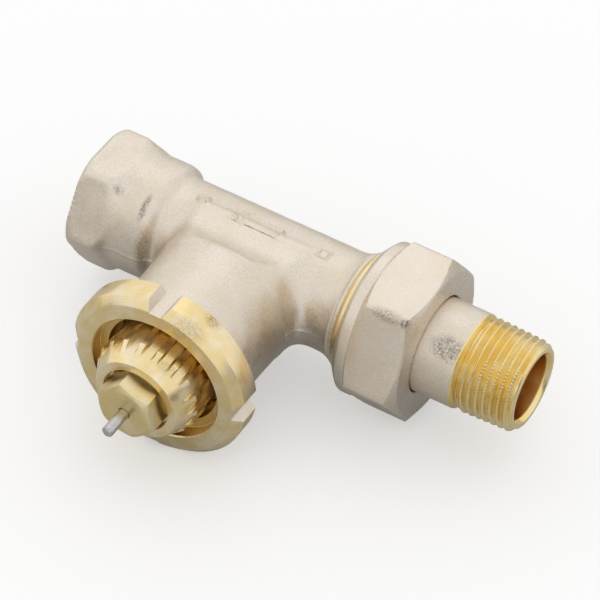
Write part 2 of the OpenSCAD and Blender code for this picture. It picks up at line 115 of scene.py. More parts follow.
class ForgingSettings(bpy.types.PropertyGroup):
    """Sizes of the forged skin."""
    grid: FloatProperty(name="Skin grid", description="Edge length of the skin's faces",
                        default=0.00045, min=0.0003, max=0.001, unit="LENGTH")
    fillet: FloatProperty(name="Root fillet", description="Width of the blend between barrel and neck",
                          default=0.003, min=0.0005, max=0.006, unit="LENGTH")
    edge: FloatProperty(name="Hex edge", description="Width of the rounding on the hex's edges",
                        default=0.0009, min=0.0002, max=0.002, unit="LENGTH")
    mark_rise: FloatProperty(name="Mark height", description="Height of the raised marks",
                             default=0.00028, min=0.0001, max=0.0006, unit="LENGTH")
    flash_rise: FloatProperty(name="Flash height", description="Height of the parting line's ridge",
                              default=0.0001, min=0.0, max=0.0003, unit="LENGTH")


class ThreadSettings(bpy.types.PropertyGroup):
    """Sizes of the pipe threads and of the edges of turned parts."""
    pitch: FloatProperty(name="Pitch", description="Distance from crest to crest",
                         default=0.001337, min=0.001, max=0.002, precision=6, unit="LENGTH")
    depth: FloatProperty(name="Depth", description="Depth of the thread",
                         default=0.00086, min=0.0004, max=0.0012, precision=6, unit="LENGTH")
    nicks: IntProperty(name="Nicks", description="Grip nicks in each turn's crest",
                       default=84, min=0, max=160)
    edge: FloatProperty(name="Turned edge", description="Width of the broken edges of turned parts",
                        default=0.00015, min=0.00005, max=0.0004, precision=5, unit="LENGTH")


class FinishSettings(bpy.types.PropertyGroup):
    """Colours of the metals."""
    nickel: FloatVectorProperty(name="Nickel", description="Plated forging", subtype="COLOR",
                                default=(0.79, 0.72, 0.63), min=0, max=1)
    # Colour of the dark patches mixed into the plated parts' colour.
    dark_patch: FloatVectorProperty(name="Patch", description="Dark marks in the plating", subtype="COLOR",
                               default=(0.10, 0.075, 0.055), min=0, max=1)
    brass: FloatVectorProperty(name="Brass", description="Turned brass", subtype="COLOR",
                               default=(0.84, 0.67, 0.35), min=0, max=1)
    steel: FloatVectorProperty(name="Steel", description="Pin and springs", subtype="COLOR",
                               default=(0.56, 0.54, 0.53), min=0, max=1)


class StageSettings(bpy.types.PropertyGroup):
    """The camera and the lamps."""
    place: FloatVectorProperty(name="Camera place", description="Where the camera stands",
                               default=(0.249792, -0.384169, 0.444835), subtype="TRANSLATION",
                               unit="LENGTH")
    turn: FloatVectorProperty(name="Camera turn", description="How the camera is turned",
                              default=(0.771837, -0.038906, 0.539219), subtype="EULER",
                              unit="ROTATION")
    lens: FloatProperty(name="Lens", description="Focal length in millimetres",
                        default=221.226, min=20, max=400)
    key_power: FloatProperty(name="Key lamp", description="Power of the large lamp in watts",
                             default=0.09, min=0, max=100)
    fill_power: FloatProperty(name="Fill lamp", description="Power of the side lamp in watts",
                              default=0.02, min=0, max=100)


# Mesh helpers; all their sizes are in mm

def only(obj):
    """Selects this object alone, so that an operator acts on nothing else."""
    for other in list(bpy.context.selected_objects):
        other.select_set(False)
    obj.select_set(True)
    bpy.context.view_layer.objects.active = obj


def made(name, points, edges=(), faces=()):
    """A new object from points in mm."""
    mesh = bpy.data.meshes.new(name)
    mesh.from_pydata([tuple(np.asarray(p, float) * MM) for p in points], list(edges), list(faces))
    mesh.update()
    obj = bpy.data.objects.new(name, mesh)
    bpy.context.scene.collection.objects.link(obj)
    return obj


def tidied(obj, gap=0.002):
    """Merges doubled points and turns all faces outwards."""
    only(obj)
    bpy.ops.object.mode_set(mode="EDIT")
    bpy.ops.mesh.select_mode(type="VERT")
    bpy.ops.mesh.select_all(action="SELECT")
    bpy.ops.mesh.remove_doubles(threshold=gap * MM)
    bpy.ops.mesh.dissolve_degenerate(threshold=0.5 * gap * MM)
    bpy.ops.mesh.select_all(action="SELECT")
    bpy.ops.mesh.normals_make_consistent(inside=False)
    bpy.ops.object.mode_set(mode="OBJECT")
    return obj


def applied(obj, kind, **values):
    """Adds a modifier with these values and applies it."""
    only(obj)
    modifier = obj.modifiers.new(kind.title(), kind)
    for key, value in values.items():
        setattr(modifier, key, value)
    bpy.ops.object.modifier_apply(modifier=modifier.name)
    return obj


def combined(obj, tool, operation, solver="EXACT"):
    """Applies a boolean with the tool and deletes the tool."""
    applied(obj, "BOOLEAN", object=tool, operation=operation, solver=solver)
    if not obj.data.polygons:
        raise RuntimeError(f"{obj.name}: {operation} with {tool.name} left nothing")
    bpy.data.objects.remove(tool, do_unlink=True)
    return obj


def joined(objs):
    """Joins objects into the first."""
    only(objs[0])
    for obj in objs[1:]:
        obj.select_set(True)
    bpy.ops.object.join()
    return objs[0]


def softened(outline, closed, steps=3):
    """Rounds the corners of an outline of (along, radius, rounding) points."""
    out = []
    count = len(outline)
    for i, point in enumerate(outline):
        corner = Vector(point[:2])
        rounding = point[2] if len(point) > 2 else 0
        if not rounding or (not closed and i in (0, count - 1)):
            out.append(tuple(corner))
            continue
        to_last = Vector(outline[i - 1][:2]) - corner
        to_next = Vector(outline[(i + 1) % count][:2]) - corner
        half = to_last.angle(to_next) / 2
        cut = min(rounding / math.tan(half), 0.45 * to_last.length, 0.45 * to_next.length)
        radius = cut * math.tan(half)
        middle = corner + (to_last.normalized() + to_next.normalized()).normalized() * (
            radius / math.sin(half))
        a = corner + to_last.normalized() * cut - middle
        b = corner + to_next.normalized() * cut - middle
        start = math.atan2(a.y, a.x)
        sweep = (math.atan2(b.y, b.x) - start + math.pi) % math.tau - math.pi
        for k in range(steps + 1):
            angle = start + sweep * k / steps
            out.append((middle.x + radius * math.cos(angle), middle.y + radius * math.sin(angle)))
    return out


def spun(name, outline, on_stem=False, closed=True, steps=128):
    """Spins an outline of (along, radius[, rounding]) round the pipe or the stem.
    A closed outline is a tube's section, and an open one starts and ends on the axis."""
    points = softened(outline, closed)
    if on_stem:
        places = [(STEM_X + r, -h, 0) for h, r in points]
        centre, axis = (STEM_X * MM, 0, 0), (0, 1, 0)
    else:
        places = [(a, r, 0) for a, r in points]
        centre, axis = (0, 0, 0), (1, 0, 0)
    count = len(places)
    edges = [(i, i + 1) for i in range(count - 1)] + ([(count - 1, 0)] if closed else [])
    obj = made(name, places, edges)
    only(obj)
    bpy.ops.object.mode_set(mode="EDIT")
    bpy.ops.mesh.select_all(action="SELECT")
    bpy.ops.mesh.spin(steps=steps, angle=math.tau, center=centre, axis=axis)
    bpy.ops.object.mode_set(mode="OBJECT")
    return tidied(obj)


def pipe_direction(angle):
    """The direction across the pipe at this angle from -Z towards +Y, as in the CAD frame."""
    return Vector((0, math.sin(angle), -math.cos(angle)))


def hex_block(name, start, end, across, corner_angle, on_stem=False, edge=0.25):
    """A hex prism round the pipe or the stem with softly rounded long edges."""
    bpy.ops.object.select_all(action="DESELECT")
    bpy.ops.mesh.primitive_cylinder_add(vertices=6, radius=across / 2 / math.cos(math.pi / 6) * MM,
                                        depth=(end - start) * MM)
    obj = bpy.context.object
    obj.name = obj.data.name = name
    if on_stem:
        along = Vector((0, -1, 0))
        side = Vector((math.cos(corner_angle), 0, math.sin(corner_angle)))
        middle = Vector((STEM_X, -(start + end) / 2, 0)) * MM
    else:
        along = Vector((1, 0, 0))
        side = pipe_direction(corner_angle)
        middle = Vector(((start + end) / 2, 0, 0)) * MM
    turn = Matrix((side.cross(along), side, along)).transposed().to_4x4()
    obj.data.transform(Matrix.Translation(middle) @ turn)
    obj.matrix_world = Matrix.Identity(4)
    only(obj)
    bpy.ops.object.mode_set(mode="EDIT")
    bpy.ops.mesh.select_mode(type="EDGE")
    bpy.ops.mesh.select_all(action="DESELECT")
    bpy.ops.object.mode_set(mode="OBJECT")
    for long_edge in obj.data.edges:
        a, b = (obj.data.vertices[v].co for v in long_edge.vertices)
        long_edge.select = abs((b - a).normalized().dot(along)) > 0.9
    bpy.ops.object.mode_set(mode="EDIT")
    bpy.ops.mesh.bevel(offset=edge * MM, segments=3, affect="EDGES")
    bpy.ops.object.mode_set(mode="OBJECT")
    return tidied(obj)


def threaded(name, before, after, start, end, crest, depth, pitch, columns=240, nicks=0,
             closed=True):
    """A turned form with a real helical thread between its plain rings.
    before and after are (along, radius) rings, and crest gives the crest's radius at a place."""
    per_turn = 10
    shape = [(1 + math.cos(math.tau * k / per_turn)) / 2 for k in range(per_turn)]
    rows = int((end - start) / pitch * per_turn) + 2 * per_turn
    root_start = crest(start) - depth
    root_end = crest(end) - depth
    grid = []
    for a, r in before:
        grid.append([(a, r)] * columns)
    for k in range(rows + 1):
        row = []
        for j in range(columns):
            a = start + (k / per_turn + j / columns - 1) * pitch
            a = min(max(a, start), end)
            r = crest(a) - depth * shape[k % per_turn]
            if nicks and shape[k % per_turn] < 0.12 and a > start + 2.2 * pitch:
                wave = math.cos(nicks * math.tau * (j / columns + 0.37 * (k // per_turn)))
                r -= 0.13 * max(0.0, wave) ** 2
            run_in = root_start + max(0.0, a - start) * 1.1
            run_out = root_end + max(0.0, end - a) * 1.1
            row.append((a, min(r, run_in, run_out)))
        grid.append(row)
    for a, r in after:
        grid.append([(a, r)] * columns)
    points = []
    for row in grid:
        for j, (a, r) in enumerate(row):
            angle = math.tau * j / columns
            points.append((a, r * math.cos(angle), r * math.sin(angle)))
    first, last = len(before), len(before) + rows

    def across_seam(i):
        return min(i + per_turn, last) if first <= i <= last else i

    faces = []
    total = len(grid)
    pairs = [(i, i + 1) for i in range(total - 1)] + ([(total - 1, 0)] if closed else [])
    for i, n in pairs:
        for j in range(columns):
            if j + 1 < columns:
                a, b = i * columns + j + 1, n * columns + j + 1
            else:
                a, b = across_seam(i) * columns, across_seam(n) * columns
            faces.append((i * columns + j, a, b, n * columns + j))
    return tidied(made(name, points, faces=faces), gap=0.0005)


def smooth(obj, angle=32):
    """Smooth shading except across edges sharper than this."""
    only(obj)
    bpy.ops.object.shade_smooth_by_angle(angle=math.radians(angle))
    return obj


def finished(obj, node, body, slot, *materials):
    """Puts a finished piece in the frame in place of its CAD node."""
    obj.name = f"{node}_look"
    obj.data.name = obj.name
    obj.data.materials.clear()
    for material in materials:
        obj.data.materials.append(material)
    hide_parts(node)
    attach(obj, body)
    return obj


# The forged skin, as a field of distances in mm

def merged(a, b, width):
    """Smooth union of two fields."""
    h = np.clip(0.5 + 0.5 * (b - a) / width, 0, 1)
    return b + (a - b) * h - width * h * (1 - h)


def trimmed(a, b, width):
    """Smooth overlap of two fields."""
    return -merged(-a, -b, width)


def eased(t):
    """Smooth step from 0 to 1."""
    t = np.clip(t, 0, 1)
    return t * t * (3 - 2 * t)


def arrow_line():
    """The arrow's outline on top of the barrel, tip first, as (x, y) in mm."""
    tip, length, barb = STEM_X - 5.7, 10.8, 3.8
    tail = tip + length - 1.0
    ring = [(tail + math.sin(a), -math.cos(a)) for a in np.linspace(0, math.pi, 9)]
    return [(tip, 0), (tip + barb, -1.95), (tip + barb - 0.3, -1.0)] + ring + [
        (tip + barb - 0.3, 1.0), (tip + barb, 1.95), (tip, 0)]


def ring_line(x, radius, corners):
    """A closed ring or square as (x, y) in mm."""
    start = math.pi / 4 if corners == 4 else 0
    return [(x + radius * math.cos(start + math.tau * k / corners),
             radius * math.sin(start + math.tau * k / corners)) for k in range(corners + 1)]


MARKS = [arrow_line(), ring_line(20.8, 1.05, 16), ring_line(44.4, 1.35, 4)]


def line_distance(x, y):
    """Distance on the plan to the nearest line of the marks."""
    best = np.full(x.shape, 1e3)
    for line in MARKS:
        for (ax, ay), (bx, by) in zip(line, line[1:]):
            ux, uy = bx - ax, by - ay
            t = np.clip(((x - ax) * ux + (y - ay) * uy) / (ux * ux + uy * uy), 0, 1)
            best = np.minimum(best, np.hypot(x - ax - t * ux, y - ay - t * uy))
    return best


def forging(p, settings):
    """Distance to the skin of the forging at points in mm, below zero inside."""
    x, y, z = p.T
    edge = settings.edge / MM
    fillet = settings.fillet / MM
    across = np.hypot(y, z)
    height = -y
    from_stem = np.hypot(x - STEM_X, z)
    block = np.full(x.shape, -1e3)
    for k in range(6):
        angle = math.radians(90 + 60 * k)
        block = trimmed(block, y * math.cos(angle) + z * math.sin(angle) - HEX_FLAT, edge)
    lead = (across - 11.3 - x) * 0.7071
    back = (across - 10.9 - 1.05 * (HEX_LENGTH - x)) * 0.69
    block = trimmed(trimmed(block, lead, 0.5), back, 0.9)
    block = trimmed(trimmed(block, -x, 0.35), x - HEX_LENGTH - 0.6, 0.5)
    socket = trimmed(trimmed(across - SOCKET_R, x - SOCKET_END + 0.2, 2.2), 3 - x, 0.2)
    flare = BARREL_R + (LAND_R - BARREL_R) * np.clip((x - 48.2) / 3.7, 0, 1) ** 2
    barrel = trimmed(trimmed(across - flare, x - PLATED_END, 0.25), 3 - x, 0.2)
    run = merged(merged(block, socket, 1.2), barrel, 1.0)
    sink_r = BARREL_R - 0.08
    turn = math.radians(8)
    crease_r = ROOT_R + 0.5
    reach = crease_r * math.cos(turn) + CREASE_H * math.sin(turn)
    curve_r = (sink_r ** 2 + crease_r ** 2 + CREASE_H ** 2 - 2 * sink_r * reach) / (
        2 * (reach - sink_r))
    cz = (sink_r + curve_r) * math.cos(turn)
    ch = (sink_r + curve_r) * math.sin(turn)
    hollow = curve_r - np.hypot(np.abs(z) - cz, height - ch)
    root = trimmed(from_stem - ROOT_R, hollow, 0.8)
    root = trimmed(trimmed(root, height - CREASE_H, 0.5), 1.4 - height, 0.3)
    neck_r = 13.05 - 0.3 * (height - CREASE_H) / (COLLAR_H - CREASE_H)
    neck = np.maximum(np.maximum(from_stem - neck_r, height - COLLAR_H - 0.6), 10.9 - height)
    skin = merged(run, root, fillet)
    skin = merged(skin, neck, 0.35)
    on_top = eased((z - 7.5) / 0.8)
    bead = 1 - eased((line_distance(x, y) - 0.06) / 0.3)
    skin = skin - settings.mark_rise / MM * bead * on_top
    flash = np.exp(-(z / 0.2) ** 2) * eased((x - 6.5) / 2) * eased((51 - x) / 1.5)
    swell = 0.03 * np.sin(0.9 * x + 1.3 * y) * np.sin(1.1 * z + 0.5 * x) * eased((x - 7) / 3)
    return skin - settings.flash_rise / MM * flash - swell


def drawn_to_skin(obj, settings, rounds=6):
    """Moves every point of the mesh onto the forging's skin."""
    mesh = obj.data
    co = np.empty(len(mesh.vertices) * 3)
    mesh.vertices.foreach_get("co", co)
    p = co.reshape(-1, 3) / MM
    h = 0.01
    for _ in range(rounds):
        value = forging(p, settings)
        slope = np.stack([(forging(p + np.eye(3)[k] * h, settings) - value) / h
                          for k in range(3)], axis=1)
        size = np.maximum((slope ** 2).sum(1), 0.2)
        step = np.clip(value / size, -0.5, 0.5)[:, None] * slope
        p = p - step
    mesh.vertices.foreach_set("co", (p * MM).ravel())
    mesh.update()


def rough_cylinder(start, end, radius, on_stem=False, vertices=64):
    """A plain cylinder round the pipe or the stem."""
    bpy.ops.object.select_all(action="DESELECT")
    bpy.ops.mesh.primitive_cylinder_add(vertices=vertices, radius=radius * MM,
                                        depth=(end - start) * MM)
    obj = bpy.context.object
    middle = (start + end) / 2 * MM
    if on_stem:
        place = Matrix.Translation((STEM_X * MM, -middle, 0)) @ Matrix.Rotation(math.pi / 2, 4, "X")
    else:
        place = Matrix.Translation((middle, 0, 0)) @ Matrix.Rotation(math.pi / 2, 4, "Y")
    obj.data.transform(place)
    obj.matrix_world = Matrix.Identity(4)
    return obj


def split_finer(obj, chosen, cuts):
    """Subdivides the faces whose middle, in mm, is chosen."""
    only(obj)
    mesh = obj.data
    centre = np.empty(len(mesh.polygons) * 3)
    mesh.polygons.foreach_get("center", centre)
    pick = chosen(*(centre.reshape(-1, 3) / MM).T)
    bpy.ops.object.mode_set(mode="EDIT")
    bpy.ops.mesh.select_mode(type="FACE")
    bpy.ops.mesh.select_all(action="DESELECT")
    bpy.ops.object.mode_set(mode="OBJECT")
    mesh.polygons.foreach_set("select", pick)
    bpy.ops.object.mode_set(mode="EDIT")
    bpy.ops.mesh.subdivide(number_cuts=cuts, quadcorner="INNERVERT")
    bpy.ops.object.mode_set(mode="OBJECT")


def slot_block(name, angle, floor, half, spread, rounding, start, end):
    """A cutter along the stem: a flat floor at a radius, and sides that spread outwards."""
    reach = 3
    section = softened([(floor, -half, rounding), (floor + reach, -half - reach * spread),
                        (floor + reach, half + reach * spread), (floor, half, rounding)], True, 5)
    count = len(section)
    points = []
    for h in (start, end):
        for r, side in section:
            points.append((STEM_X + r * math.cos(angle) - side * math.sin(angle), -h,
                           r * math.sin(angle) + side * math.cos(angle)))
    faces = [tuple(range(count)), tuple(range(2 * count - 1, count - 1, -1))]
    faces += [(k, (k + 1) % count, (k + 1) % count + count, k + count) for k in range(count)]
    return tidied(made(name, points, faces=faces))


def bores(threads):
    """All that is cut from the body, as one solid."""
    neck = spun("neck_bore", [(-3.6, 0), (-3.6, 4), (3, 4), (3, 4.8), (2.2, 4.8), (2.2, 7),
                              (14, 7), (14, 9), (23, 9), (23, 10.6), (29.6, 10.6, 0.15),
                              (29.6, 12.2, 0.1), (MOUTH_H - 0.2, 12.2), (MOUTH_H + 0.8, 13.2),
                              (MOUTH_H + 0.8, 0)], on_stem=True, closed=False)
    outlet = spun("outlet_bore", [(44.3, 0), (44.3, 5.5), (56.3, 5.5), (56.3, 7.35),
                                  (BODY_END + 1, 7.35), (BODY_END + 1, 0)], closed=False)
    pitch, depth = threads.pitch / MM, threads.depth / MM
    inlet = threaded("inlet_bore", [(-0.5, 0.001), (-0.5, 8.75), (0.35, 7.9)],
                     [(11.4, 7.4), (11.4, 0.001)], 0.4, 11.0, lambda a: 8.33,
                     depth, pitch, columns=128, closed=False)
    port = rough_cylinder(STEM_X, 45.0, 3.8, vertices=48)
    port.data.transform(Matrix.Translation((0, 3.6 * MM, 0)))
    run = 31.3 - 3 - 11.4
    slant = rough_cylinder(0, run, 3.5, vertices=48)
    slant.data.transform(Matrix.Translation((10.4 * MM, -1.4 * MM, 0))
                         @ Matrix.Rotation(-math.atan2(5.4, run), 4, "Z"))
    for tool in (outlet, inlet, port, slant):
        combined(neck, tool, "UNION")
    return neck


# Materials

class Finish:
    """One procedural material, built node by node on Object coordinates."""

    def __init__(self, name, colour, metallic, roughness):
        self.material = bpy.data.materials.new(name)
        self.material.use_nodes = True
        self.tree = self.material.node_tree
        self.shader = self.tree.nodes["Principled BSDF"]
        self.shader.inputs["Base Color"].default_value = (*colour, 1)
        self.shader.inputs["Metallic"].default_value = metallic
        self.shader.inputs["Roughness"].default_value = roughness
        self.place = self.tree.nodes.new("ShaderNodeTexCoord").outputs["Object"]

    def node(self, kind, inputs=(), **values):
        """A node with its inputs set or linked."""
        node = self.tree.nodes.new(kind)
        for key, value in values.items():
            setattr(node, key, value)
        for key, value in dict(inputs).items():
            if isinstance(value, bpy.types.NodeSocket):
                self.tree.links.new(value, node.inputs[key])
            else:
                node.inputs[key].default_value = value
        return node

    def sum(self, operation, *values):
        """A Math node."""
        return self.node("ShaderNodeMath", enumerate(values), operation=operation).outputs[0]

    def noise(self, feature, detail=3.0, where=None, rough=0.55):
        """Noise with features of about this size in mm."""
        return self.node("ShaderNodeTexNoise", {
            "Vector": where or self.place, "Scale": 1 / (feature * MM), "Detail": detail,
            "Roughness": rough}).outputs[0]

    def between(self, value, low, high, to_low=0.0, to_high=1.0):
        """Maps a range smoothly onto another."""
        return self.node("ShaderNodeMapRange", {
            0: value, 1: low, 2: high, 3: to_low, 4: to_high},
            interpolation_type="SMOOTHSTEP").outputs[0]

    def mixed(self, factor, a, b):
        """Mixes two colours."""
        node = self.node("ShaderNodeMix", {0: factor}, data_type="RGBA")
        for index, value in ((6, a), (7, b)):
            if isinstance(value, bpy.types.NodeSocket):
                self.tree.links.new(value, node.inputs[index])
            else:
                node.inputs[index].default_value = (*value, 1)
        return node.outputs[2]

    def near(self, centre, radius, stretch=(1, 1, 1)):
        """1 at a place in mm, falling to 0 at the radius."""
        moved = self.node("ShaderNodeVectorMath", {
            0: self.place, 1: tuple(-c * MM for c in centre)}, operation="ADD").outputs[0]
        scaled = self.node("ShaderNodeVectorMath", {
            0: moved, 1: tuple(1 / (radius * MM * s) for s in stretch)},
            operation="MULTIPLY").outputs[0]
        length = self.node("ShaderNodeVectorMath", {0: scaled}, operation="LENGTH").outputs[1]
        return self.between(length, 0.35, 1.0, 1.0, 0.0)

    def turned(self, on_stem):
        """A vector of radius and place along the axis, for lines round a turned part."""
        part = self.node("ShaderNodeSeparateXYZ", {0: self.place})
        if on_stem:
            a = self.sum("SUBTRACT", part.outputs[0], STEM_X * MM)
            b, along = part.outputs[2], part.outputs[1]
        else:
            a, b, along = part.outputs[1], part.outputs[2], part.outputs[0]
        radius = self.sum("SQRT", self.sum("ADD", self.sum("MULTIPLY", a, a),
                                           self.sum("MULTIPLY", b, b)))
        return self.node("ShaderNodeCombineXYZ", {0: radius, 1: along}).outputs[0]

    def link(self, socket, name):
        """Links a socket to the shader."""
        self.tree.links.new(socket, self.shader.inputs[name])

    def bumps(self, *layers):
        """Stacks bump layers of (height, depth in mm, strength)."""
        normal = None
        for height, depth, strength in layers:
            inputs = {"Height": height, "Distance": depth * MM, "Strength": strength}
            if normal:
                inputs["Normal"] = normal
            normal = self.node("ShaderNodeBump", inputs).outputs[0]
        self.link(normal, "Normal")
        return self.material


def blotches(finish, spots):
    """Adds up broken-edged spots of (centre, radius, stretch, strength)."""
    broken = finish.between(finish.noise(0.4, 5, rough=0.7), 0.30, 0.72)
    total = None
    for centre, radius, stretch, strength in spots:
        spot = finish.sum("MULTIPLY", finish.near(centre, radius, stretch), strength)
        total = spot if total is None else finish.sum("MAXIMUM", total, spot)
    return finish.sum("MULTIPLY", total, broken)


def plated(name, settings, grain, spots=(), rough=0.4, bead=0.5):
    """Tumbled nickel plate on a forging, with fine grain, mottling and dark patches."""
    finish = Finish(name, settings.nickel, 1.0, rough)
    nickel = tuple(settings.nickel)
    dull = tuple(c * f for c, f in zip(nickel, (0.80, 0.77, 0.72)))
    warm = tuple(c * f for c, f in zip(nickel, (0.90, 0.80, 0.62)))
    cloud = finish.between(finish.noise(6.0, 4), 0.40, 0.64)
    fine = finish.noise(grain, 4, rough=0.65)
    colour = finish.mixed(finish.sum("MULTIPLY", cloud, 0.3), nickel, warm)
    colour = finish.mixed(finish.between(fine, 0.34, 0.60, 0.75, 0.0), colour, dull)
    if spots:
        dark_patches = blotches(finish, spots)
        colour = finish.mixed(dark_patches, colour, tuple(settings.dark_patch))
    finish.link(colour, "Base Color")
    finish.link(finish.between(fine, 0.3, 0.7, rough - 0.08, rough + 0.12), "Roughness")
    waves = finish.noise(2.4, 2)
    return finish.bumps((waves, 0.08, 0.5), (fine, 0.035, bead))


def turned_brass(name, settings, on_stem, spots=(), tint=(1, 1, 1), rough=0.24):
    """Bright turned brass with fine lines round the axis and faint stains; the bores' darker tint is
    painted shade.
    """
    colour = tuple(min(1.0, c * t) for c, t in zip(settings.brass, tint))
    finish = Finish(name, colour, 1.0, rough)
    where = finish.turned(on_stem)
    lines = finish.noise(0.16, 2, where=where)
    broad = finish.noise(4.5, 3)
    pale = tuple(min(1.0, c * f) for c, f in zip(colour, (1.06, 1.16, 1.6)))
    deep = tuple(c * f for c, f in zip(colour, (0.86, 0.76, 0.55)))
    mix = finish.mixed(finish.between(broad, 0.40, 0.66), colour, pale)
    mix = finish.mixed(finish.between(lines, 0.30, 0.46, 0.5, 0.0), mix, deep)
    if spots:
        mix = finish.mixed(blotches(finish, spots), mix, (0.16, 0.11, 0.04))
    finish.link(mix, "Base Color")
    finish.link(finish.between(broad, 0.3, 0.7, rough - 0.04, rough + 0.12), "Roughness")
    return finish.bumps((lines, 0.012, 0.5), (finish.noise(0.35, 3), 0.006, 0.4))


def polished_steel(name, settings, on_stem=True):
    """Ground steel with lines round the axis."""
    finish = Finish(name, tuple(settings.steel), 1.0, 0.2)
    lines = finish.noise(0.2, 2, where=finish.turned(on_stem))
    colour = tuple(settings.steel)
    finish.link(finish.mixed(finish.between(lines, 0.35, 0.6), tuple(c * 0.8 for c in colour),
                             colour), "Base Color")
    finish.link(finish.between(lines, 0.3, 0.7, 0.16, 0.3), "Roughness")
    return finish.bumps((lines, 0.008, 0.4))


def moulded(name, colour, rough):
    """Sealing rubber or white bearing plastic, slightly uneven."""
    finish = Finish(name, colour, 0.0, rough)
    cloud = finish.noise(1.2, 3)
    finish.link(finish.mixed(finish.between(cloud, 0.35, 0.65), colour,
                             tuple(c * 0.75 for c in colour)), "Base Color")
    finish.link(finish.between(cloud, 0.3, 0.7, rough - 0.08, rough + 0.1), "Roughness")
    return finish.bumps((finish.noise(0.25, 3), 0.01, 0.5))


# Operators, one for each piece or group of like pieces

class VALVE_OT_body(bpy.types.Operator):
    """Forged and plated body with its turned collar, bores, marks and inlet thread"""
    bl_idname = "valve.body"
    bl_label = "Forged body"

    def execute(self, context):
        settings = context.scene.valve_forging
        threads = context.scene.valve_threads
        look = context.scene.valve_finish
        parts = [rough_cylinder(0.2, HEX_LENGTH + 0.4, 12.2, vertices=6),
                 rough_cylinder(1, SOCKET_END, SOCKET_R),
                 rough_cylinder(1, PLATED_END - 0.1, BARREL_R + 0.2),
                 rough_cylinder(2, CREASE_H, 11.5, on_stem=True),
                 rough_cylinder(2, COLLAR_H + 0.4, 12.9, on_stem=True)]
        body = joined(parts)
        applied(body, "REMESH", mode="VOXEL", voxel_size=settings.grid, adaptivity=0.0)
        drawn_to_skin(body, settings)
        split_finer(body, lambda x, y, z: (z > 7) & (line_distance(x, y) < 0.9), 3)
        split_finer(body, lambda x, y, z: (np.abs(z) < 0.7) & (x > 7) & (x < 51)
                    & (y > -COLLAR_H), 1)
        drawn_to_skin(body, settings, rounds=4)
        edge = threads.edge / MM
        collar = spun("collar", [(COLLAR_H, 0), (COLLAR_H, COLLAR_R, edge * 1.5),
                                 (MOUTH_H - COLLAR_BEVEL, COLLAR_R, edge),
                                 (MOUTH_H, COLLAR_R - COLLAR_BEVEL, edge), (MOUTH_H, 0)],
                      on_stem=True, closed=False, steps=180)
        union = spun("union_end", [(46, 0), (46, 8.6), (PLATED_END - 0.4, 8.6),
                                   (PLATED_END - 0.4, LAND_R - 0.25), (PLATED_END, LAND_R - 0.25),
                                   (PLATED_END + 0.9, UNION_R - 0.1),
                                   (PLATED_END + 1.4, UNION_R),
                                   (BODY_END - 0.9, UNION_R), (BODY_END, LAND_R), (BODY_END, 0)],
                     closed=False)
        for k in range(4):
            combined(collar, slot_block("notch", k * math.pi / 2, NOTCH_FLOOR_R, NOTCH_FLOOR / 2,
                                        NOTCH_SPREAD, 0.3, COLLAR_H - 1, MOUTH_H + 1), "DIFFERENCE")
        combined(body, collar, "UNION")
        combined(body, union, "UNION")
        combined(body, bores(threads), "DIFFERENCE")
        tidied(body, gap=0.001)
        smooth(body, 30)
        # Dark patches on the forging: at the hex's back corner, in bands round the socket's end, on
        # the neck, and on the barrel beside the neck's root.
        forged = plated("nickel_forging", look, 0.32, spots=[
            ((8.0, -6.5, 10.1), 1.5, (1.2, 1.0, 1.0), 0.9),
            ((12.9, -6.5, 8.5), 2.6, (0.35, 1.3, 1.3), 0.85),
            ((14.6, -10.4, 2.6), 4.6, (0.35, 1.0, 1.2), 0.5),
            ((41.0, -17.5, 8.5), 4.0, (0.6, 1.2, 1.2), 0.15),
            ((49.4, -8.6, 3.2), 5.0, (1.0, 0.8, 1.0), 0.2)])
        collar_brass = turned_brass("collar_brass", look, True, spots=[
            ((39.6, -27.5, 14.4), 2.0, (1.2, 1.0, 1.0), 0.7),
            ((37.1, -31.4, 14.3), 3.0, (1.4, 0.7, 1.0), 0.45)])
        # The bores are bare turned brass, tinted darker and more orange as painted shade inside the
        # bores.
        bore_shade_brass = turned_brass("bore_shade_brass", look, True, tint=(0.82, 0.66, 0.4), rough=0.3)
        piece = finished(body, "valve_body", "body", "nickel", forged, collar_brass, bore_shade_brass)
        mesh = piece.data
        count = len(mesh.polygons)
        centre = np.empty(count * 3)
        mesh.polygons.foreach_get("center", centre)
        x, y, z = (centre.reshape(-1, 3) / MM).T
        h = -y
        radius = np.hypot(x - STEM_X, z)
        across = np.hypot(y, z)
        angle = np.arctan2(z, x - STEM_X)
        aside = np.abs((angle + math.pi / 4) % (math.pi / 2) - math.pi / 4)
        slope = radius * np.sin(aside) - NOTCH_FLOOR / 2
        deep = radius * np.cos(aside) - NOTCH_FLOOR_R
        in_notch = (slope < np.maximum(deep, 0) * NOTCH_SPREAD + 0.12) & (
            radius > NOTCH_FLOOR_R - 0.2) & (h > COLLAR_H + 0.02) & (h < MOUTH_H - 0.02)
        index = np.zeros(count, dtype=np.int32)
        index[(h > COLLAR_H - 0.02) & ~in_notch] = 1
        # Faces in the neck's, inlet's and outlet's bores take material 2, the brass with painted
        # shade.
        index[(h > 0) & (h < 31) & (radius < 11.9) & (across > BARREL_R - 2)
              & (np.abs(x - STEM_X) < 11.9) & (np.abs(z) < 11.9) & (h > 10)] = 2
        index[(across < 8.5) & (x < 11.3)] = 2
        index[x > PLATED_END - 0.02] = 1
        index[(across < 7.5) & (x > 44)] = 2
        mesh.polygons.foreach_set("material_index", index)
        mesh.update()
        return {"FINISHED"}


